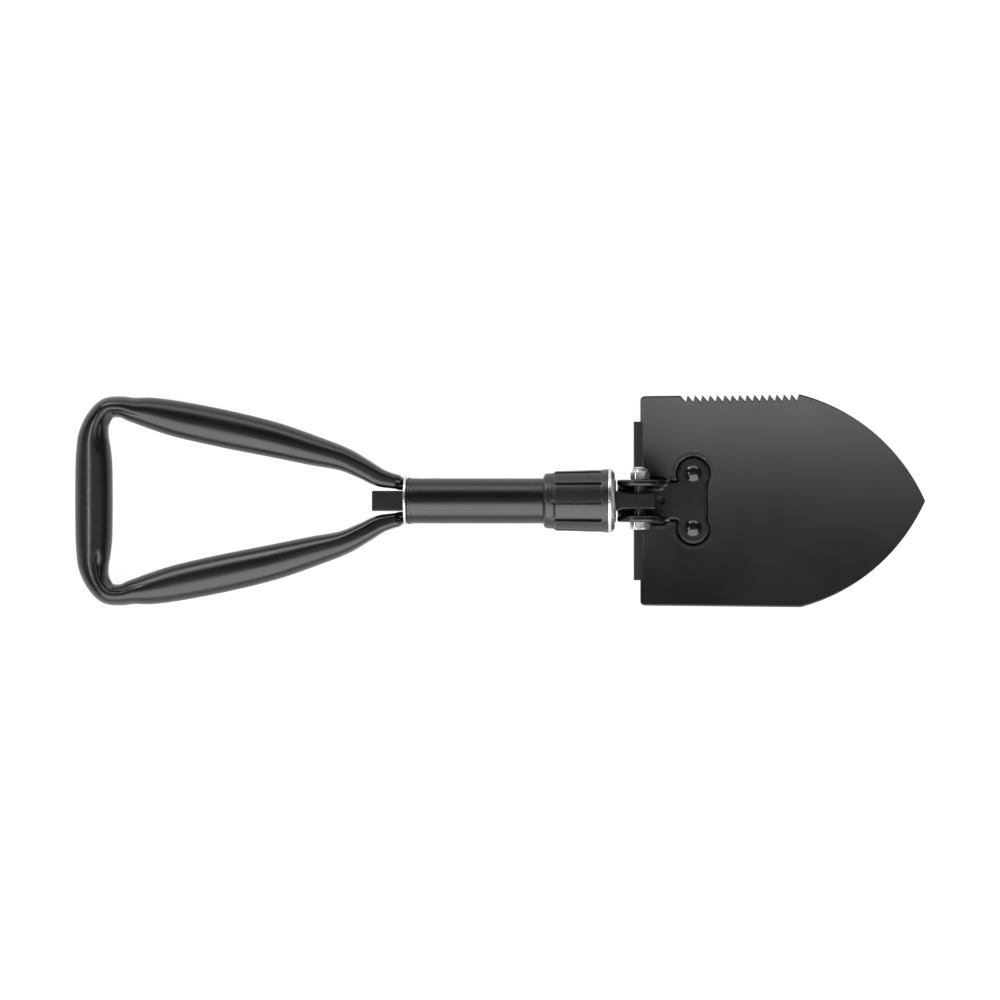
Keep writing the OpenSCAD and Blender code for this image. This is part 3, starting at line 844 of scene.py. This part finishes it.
DISH_R = 240 * MM
SHEET = 2.0 * MM
STEP_OUT = 3.7 * MM
STEP_DROP = 9.0 * MM
STEP_HALF = 43.4 * MM
SAW_PITCH = 4.04 * MM
SAW_DEPTH = 3.3 * MM
SAW_TEETH = 16
POINT_R = 103.3 * MM
CORNER_R = 2.5 * MM


class BladePlan:
    """The blade's flat outline: half widths along its length, from its back edge at 0."""

    def __init__(self, length, width):
        self.length = length
        self.half = width / 2
        self.shoulder = length * 0.562
        self.rear_half = self.half - 0.8 * MM
        self.saw_start = length * 0.141
        cx, cy = (length - self.shoulder) / 2, self.half / 2
        reach = math.hypot(cx, cy)
        sag = math.sqrt(POINT_R ** 2 - reach ** 2)
        self.arc_x = (self.shoulder + length) / 2 - sag * cy / reach
        self.arc_y = cy - sag * cx / reach

    def plain(self, x):
        """Half width with no saw teeth."""
        if x < CORNER_R:
            inside = CORNER_R - x
            return self.rear_half - CORNER_R + math.sqrt(max(CORNER_R ** 2 - inside ** 2, 0))
        if x <= self.shoulder:
            return self.rear_half + (self.half - self.rear_half) * x / self.shoulder
        return self.arc_y + math.sqrt(max(POINT_R ** 2 - (x - self.arc_x) ** 2, 0))

    def saw(self, x):
        """Half width on the saw side."""
        s = (x - self.saw_start) / SAW_PITCH
        if s <= 0 or s >= SAW_TEETH:
            return self.plain(x)
        t = s - math.floor(s)
        if t < 0.72:
            cut = t / 0.72
        elif t < 0.95:
            cut = (0.95 - t) / 0.23
        else:
            cut = 0
        return self.plain(x) - SAW_DEPTH * cut

    def columns(self):
        """Places along the length where the mesh has an edge across the blade."""
        xs = [2.3 * MM + 0.6 * MM * i for i in range(int((self.saw_start - 2.3 * MM) / (0.6 * MM)))]
        for tooth in range(SAW_TEETH):
            start = self.saw_start + tooth * SAW_PITCH
            shares = (0, 0.12, 0.24, 0.36, 0.48, 0.60, 0.68, 0.72, 0.76, 0.84, 0.91, 0.95)
            xs += [start + SAW_PITCH * t for t in shares]
        xs.append(self.saw_start + SAW_TEETH * SAW_PITCH)
        begin = self.shoulder
        count = 64
        for i in range(count):
            t = i / count
            xs.append(begin + (self.length - begin) * math.sin(t * math.pi / 2) ** 0.9)
        xs.append(self.length - 0.05 * MM)
        return sorted(x for x in set(xs) if x < self.length - 0.04 * MM)


def distance_to_outline(points, outline):
    """Signed distance from each point to a closed outline: negative inside."""
    p = np.asarray(points)
    a = np.asarray(outline)
    b = np.roll(a, -1, axis=0)
    best = np.full(len(p), 1e9)
    inside = np.zeros(len(p), bool)
    for (ax, ay), (bx, by) in zip(a, b):
        dx, dy = bx - ax, by - ay
        px, py = p[:, 0] - ax, p[:, 1] - ay
        t = np.clip((px * dx + py * dy) / (dx * dx + dy * dy), 0, 1)
        best = np.minimum(best, np.hypot(px - t * dx, py - t * dy))
        crosses = ((ay > p[:, 1]) != (by > p[:, 1]))
        with np.errstate(divide="ignore", invalid="ignore"):
            at = (bx - ax) * (p[:, 1] - ay) / (by - ay) + ax
        inside ^= crosses & (p[:, 0] < at)
    return np.where(inside, -best, best)


def dish_height(y, blade_z):
    """Height of the blade's dished upper face at y."""
    return blade_z + DISH_R - np.sqrt(DISH_R ** 2 - y ** 2)


def step_profile(out, drop):
    """Turned-down edge as (distance out, drop, lean from level): a bend, a slope, a bend, a drop."""
    first_r, slope, second_r = 2.6 * MM, math.radians(42), 2.9 * MM
    rows = []
    for s in range(9):
        a = slope * s / 8
        rows.append((first_r * math.sin(a), first_r * (1 - math.cos(a)), a))
    straight = out - second_r * (1 - math.sin(slope)) - rows[-1][0]
    x0, z0, _ = rows[-1]
    rows += [(x0 + straight * t, z0 + straight * t * math.tan(slope), slope) for t in (0.25, 0.5, 0.75, 1.0)]
    x0, z0, _ = rows[-1]
    for s in range(1, 9):
        a = slope + (math.pi / 2 - slope) * s / 8
        x = x0 + second_r * (math.sin(a) - math.sin(slope))
        rows.append((x, z0 + second_r * (math.cos(slope) - math.cos(a)), a))
    x0, z0, a = rows[-1]
    rows += [(x0, z0 + (drop - z0) * t, a) for t in (0.4, 0.8, 0.92)]
    rows.append((x0 - 0.25 * MM, drop, a))
    return rows


def build_blade():
    """Dished sheet with saw teeth, a pocket for the bracket's foot and a turned-down step behind it."""
    low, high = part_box("blade")
    plan = BladePlan(high.x - hinge.x, high.y - low.y)
    blade_z = FOOT_BOTTOM + 1.0 * MM
    xs = plan.columns()
    pitch, fine_rows, outer_rows = 0.62 * MM, 44, 12
    fine_half = fine_rows * pitch
    inner_rows = [i * pitch for i in range(-fine_rows, fine_rows + 1)]
    outer = [fine_half + (STEP_HALF - fine_half) * i / outer_rows for i in range(1, outer_rows + 1)]
    inner_rows = sorted([-y for y in outer] + inner_rows + outer)
    edge_shares = [0.2, 0.4, 0.58, 0.74, 0.87, 0.95]
    rim = 0.8 * MM

    def row_points(x):
        """Points across the blade at x, from the plain side to the saw side."""
        plain, saw = plan.plain(x), plan.saw(x)
        scale = min(1.0, plain / plan.half) if x > plan.shoulder else 1.0
        limit = STEP_HALF * scale
        ys = []
        for e in reversed(edge_shares):
            ys.append(-(limit + (plain - rim * scale - limit) * e))
        ys = [-plain, -(plain - rim * scale)] + ys
        ys += [y * scale for y in inner_rows]
        for e in edge_shares:
            ys.append(limit + (saw - rim * scale - limit) * e)
        ys += [saw - rim * scale, saw]
        return ys

    n = len(row_points(xs[0]))
    first_step = 2 + len(edge_shares)
    last_step = n - 1 - first_step
    grid_x, grid_y = [], []
    for x in xs:
        ys = row_points(x)
        grid_x += [x] * n
        grid_y += ys
    flat = np.array([grid_x, grid_y]).T
    pocket = foot_outline(0.8 * MM)
    wall = 1.24 * MM
    for level in (0.0, wall / 2, wall, 1.5 * wall, 2 * wall):
        d = distance_to_outline(flat, pocket) - level
        h = 0.05 * MM
        gx = distance_to_outline(flat + [h, 0], pocket) - distance_to_outline(flat - [h, 0], pocket)
        gy = distance_to_outline(flat + [0, h], pocket) - distance_to_outline(flat - [0, h], pocket)
        g = np.stack([gx, gy], 1)
        g /= np.maximum(np.linalg.norm(g, axis=1, keepdims=True), 1e-9)
        near = (np.abs(d) < 0.27 * MM) & (flat[:, 0] > 3 * MM)
        flat[near] -= g[near] * d[near, None]
    sd = distance_to_outline(flat, pocket)
    surface = dish_height(flat[:, 1], blade_z)
    t = 1 - (1 - np.clip(sd / wall, 0, 1)) ** 2
    lip = 0.16 * MM * np.exp(-((sd - 1.3 * wall) / (0.5 * wall)) ** 2) * (flat[:, 0] > 8 * MM)
    z = FOOT_BOTTOM + (surface - FOOT_BOTTOM) * t + lip
    slope = np.sqrt(1 - (flat[:, 1] / DISH_R) ** 2)
    z_under = z - SHEET / slope
    edge_index = np.tile(np.arange(n), len(xs))
    rim_drop = 0.45 * MM
    on_edge = (edge_index == 0) | (edge_index == n - 1)
    z_top = np.where(on_edge, z - rim_drop, z)
    z_low = np.where(on_edge, z_under + 0.35 * MM, z_under)
    verts = []
    verts += [(hinge.x + flat[i, 0], flat[i, 1], z_top[i]) for i in range(len(flat))]
    base_under = len(verts)
    verts += [(hinge.x + flat[i, 0], flat[i, 1], z_low[i]) for i in range(len(flat))]
    faces = grid_faces(len(xs), n)
    faces += [f[::-1] for f in grid_faces(len(xs), n, start=base_under)]
    for c in range(len(xs) - 1):
        for side in (0, n - 1):
            a, b = c * n + side, (c + 1) * n + side
            faces.append((a, b, base_under + b, base_under + a))
    last = (len(xs) - 1) * n
    for r in range(n - 1):
        faces.append((last + r, last + r + 1, base_under + last + r + 1, base_under + last + r))

    # Turned-down step behind the first column, between the two step ends
    step_rows = list(range(first_step, last_step + 1))
    start_x = xs[0]
    m = len(step_rows)
    step_y = np.array([flat[r, 1] for r in step_rows])
    step_z = dish_height(step_y, blade_z)
    previous_top = step_rows
    previous_under = [base_under + r for r in step_rows]
    profile = step_profile(start_x + STEP_OUT, STEP_DROP)
    for k, (out, drop, lean) in enumerate(profile[1:]):
        clear = distance_to_outline(np.stack([np.full(m, start_x - out), step_y], 1), pocket)
        share = 1 - (1 - np.clip(clear / wall, 0, 1)) ** 2
        tz = step_z - drop
        tz = np.where(tz > FOOT_BOTTOM, FOOT_BOTTOM + (tz - FOOT_BOTTOM) * share, tz)
        thick = SHEET - (0.3 * MM if k == len(profile) - 2 else 0)
        ux = start_x - out + thick * math.sin(lean)
        uz = tz - thick * math.cos(lean)
        here_top = [len(verts) + 2 * i for i in range(m)]
        here_under = [i + 1 for i in here_top]
        for i in range(m):
            verts.append((hinge.x + start_x - out, step_y[i], tz[i]))
            verts.append((hinge.x + ux, step_y[i], uz[i]))
        for i in range(m - 1):
            faces.append((here_top[i], here_top[i + 1], previous_top[i + 1], previous_top[i]))
            faces.append((previous_under[i], previous_under[i + 1], here_under[i + 1], here_under[i]))
        for i in (0, m - 1):
            faces.append((previous_top[i], previous_under[i], here_under[i], here_top[i]))
        previous_top, previous_under = here_top, here_under
    for i in range(m - 1):
        faces.append((previous_top[i], previous_top[i + 1], previous_under[i + 1], previous_under[i]))

    # Rounded back corners outside the step
    back = [1.9, 1.5, 1.1, 0.7, 0.4, 0.15, 0.0]
    for rows in (list(range(0, first_step + 1)), list(range(last_step, n))):
        previous_top = rows
        previous_under = [base_under + r for r in rows]
        for k, stop in enumerate(back):
            x = stop * MM
            ys = row_points(max(x, 0.0))
            here_top, here_under = [], []
            for r in rows:
                y = ys[r]
                zt = float(dish_height(np.array(y), blade_z))
                zu = zt - SHEET
                outer_row = r in (0, n - 1)
                drop = rim_drop if outer_row or k == len(back) - 1 else 0.0
                rise = 0.35 * MM if outer_row or k == len(back) - 1 else 0.0
                here_top.append(len(verts))
                verts.append((hinge.x + x, y, zt - drop))
                here_under.append(len(verts))
                verts.append((hinge.x + x, y, zu + rise))
            for i in range(len(rows) - 1):
                faces.append((here_top[i], here_top[i + 1], previous_top[i + 1], previous_top[i]))
                faces.append((previous_under[i], previous_under[i + 1], here_under[i + 1], here_under[i]))
            for i in (0, len(rows) - 1):
                faces.append((previous_top[i], previous_under[i], here_under[i], here_top[i]))
            previous_top, previous_under = here_top, here_under
        for i in range(len(rows) - 1):
            faces.append((previous_top[i], previous_top[i + 1], previous_under[i + 1], previous_under[i]))
    make_piece("blade_sheet", verts, faces, "blade", "black_paint", blade_paint, ["blade"], 30)


# ---------------------------------------------------------------- CAD pieces that keep their shape

def paint_node(node, material):
    """Gives a CAD node one material."""
    obj = frame["nodes"][node]
    obj.data.materials.clear()
    obj.data.materials.append(material)
    for polygon in obj.data.polygons:
        polygon.material_index = 0


build_handle()
build_spacer()
build_shaft()
build_tongue()
build_grip()
build_collar_metal()
build_washer()
build_bolt()
build_nut()
build_rivets()
build_bracket()
build_blade()
paint_node("handle_pin", bright_zinc)
paint_node("threaded_barrel", bright_zinc)
paint_node("tongue_pin", bright_zinc)
paint_node("collar_wiper", black_rubber)


# ---------------------------------------------------------------- studio

def build_studio():
    """Pale floor under the shovel, soft boxes round it, and a camera almost square above the floor."""
    grip_low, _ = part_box("handle_tube")
    blade_low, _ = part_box("blade")
    grip_x = grip_low.x + 10 * MM
    rest_a = Vector((grip_x, 0, grip_low.z + 1.3 * MM))
    rest_b = Vector((hinge.x - STEP_OUT, 0, blade_low.z))
    along = (rest_b - rest_a).normalized()
    up = Vector((-along.z, 0, along.x))
    tilt = Matrix((along, Vector((0, 1, 0)), up)).transposed().to_4x4()

    def place(obj, point, look_at=None):
        """Puts an object at a point of the studio: x along the floor, y across, z up."""
        at = rest_a + tilt.to_3x3() @ Vector(point)
        obj.matrix_world = Matrix.Translation(at) @ tilt
        if look_at is not None:
            target = rest_a + tilt.to_3x3() @ Vector(look_at)
            facing = (target - at).normalized().to_track_quat("-Z", "Y").to_matrix().to_4x4()
            obj.matrix_world = Matrix.Translation(at) @ facing

    floor_mesh = bpy.data.meshes.new("studio_floor")
    reach = 6.0
    corners = [(-reach, -reach, 0), (reach, -reach, 0), (reach, reach, 0), (-reach, reach, 0)]
    floor_mesh.from_pydata(corners, [], [(0, 1, 2, 3)])
    floor = bpy.data.objects.new("studio_floor", floor_mesh)
    bpy.context.scene.collection.objects.link(floor)
    mat, tree, shader, coords = node_material("studio_paper")
    shade = ramp(tree, noise(tree, coords, 3, 2), (0.10,) * 3, (0.12,) * 3)
    tree.links.new(shade, shader.inputs["Base Color"])
    shader.inputs["Roughness"].default_value = 0.9
    shader.inputs["Specular IOR Level"].default_value = 0.1
    shader.inputs["Emission Color"].default_value = (1, 1, 1, 1)
    shader.inputs["Emission Strength"].default_value = 0.95
    floor_mesh.materials.append(mat)
    place(floor, (0, 0, -1.6 * MM))

    middle = (0.2214, 0.0005, 0)
    cam_data = bpy.data.cameras.new("camera")
    cam = bpy.data.objects.new("camera", cam_data)
    bpy.context.scene.collection.objects.link(cam)
    distance, height, shown = 2.4, 0.015, 0.5456
    cam_data.sensor_width = 36
    cam_data.lens = cam_data.sensor_width * (distance - height) / shown
    cam_data.clip_end = 50
    lean = math.radians(1.9)
    seat = (middle[0] - distance * math.sin(lean), middle[1], distance * math.cos(lean))
    place(cam, seat)
    at = Matrix.Translation(cam.matrix_world.translation)
    cam.matrix_world = at @ tilt @ Matrix.Rotation(-lean, 4, "Y")
    bpy.context.scene.camera = cam

    def softbox(name, side, low_deg, high_deg, reach, along_x, length, radiance):
        """Long panel beside the shovel, seen from it between two angles from overhead."""
        ends = [
            Vector((0, side * math.sin(math.radians(d)), math.cos(math.radians(d)))) * reach
            for d in (low_deg, high_deg)
        ]
        mid = (ends[0] + ends[1]) / 2
        width = (ends[1] - ends[0]).length
        panel(name, (middle[0] + along_x, mid.y, mid.z), (middle[0] + along_x, 0, 0), length, width, radiance)

    def panel(name, point, look_at, size_x, size_y, radiance):
        """Area light of that size and brightness, turned to face a point."""
        data = bpy.data.lights.new(name, "AREA")
        data.shape = "RECTANGLE"
        data.size, data.size_y = size_x, size_y
        data.energy = radiance * math.pi * size_x * size_y
        light = bpy.data.objects.new(name, data)
        bpy.context.scene.collection.objects.link(light)
        place(light, point, look_at)

    softbox("box_front", -1, 14, 78, 1.3, 0.0, 2.2, 4.3)
    softbox("box_back_left", 1, 55, 80, 1.3, -0.75, 0.9, 6.5)
    softbox("box_back_right", 1, 55, 80, 1.3, 0.45, 1.3, 3.0)
    key = math.radians(38)
    key_at = (middle[0] - 1.1 * math.sin(key), 0, 1.1 * math.cos(key))
    target = (middle[0], 0, 0)
    panel("key_left", key_at, target, 0.16, 0.16, 20)
    panel("horizon_left", (middle[0] - 1.6, 0, 0.75), target, 0.35, 1.6, 0.6)
    panel("overhead", (middle[0], 0, 2.7), target, 1.8, 1.8, 0.2)

    world = bpy.data.worlds.new("studio_air")
    world.use_nodes = True
    world.node_tree.nodes["Background"].inputs["Color"].default_value = (1, 1, 1, 1)
    world.node_tree.nodes["Background"].inputs["Strength"].default_value = 0.03
    bpy.context.scene.world = world
    bpy.context.scene.view_settings.view_transform = "Standard"


build_studio()
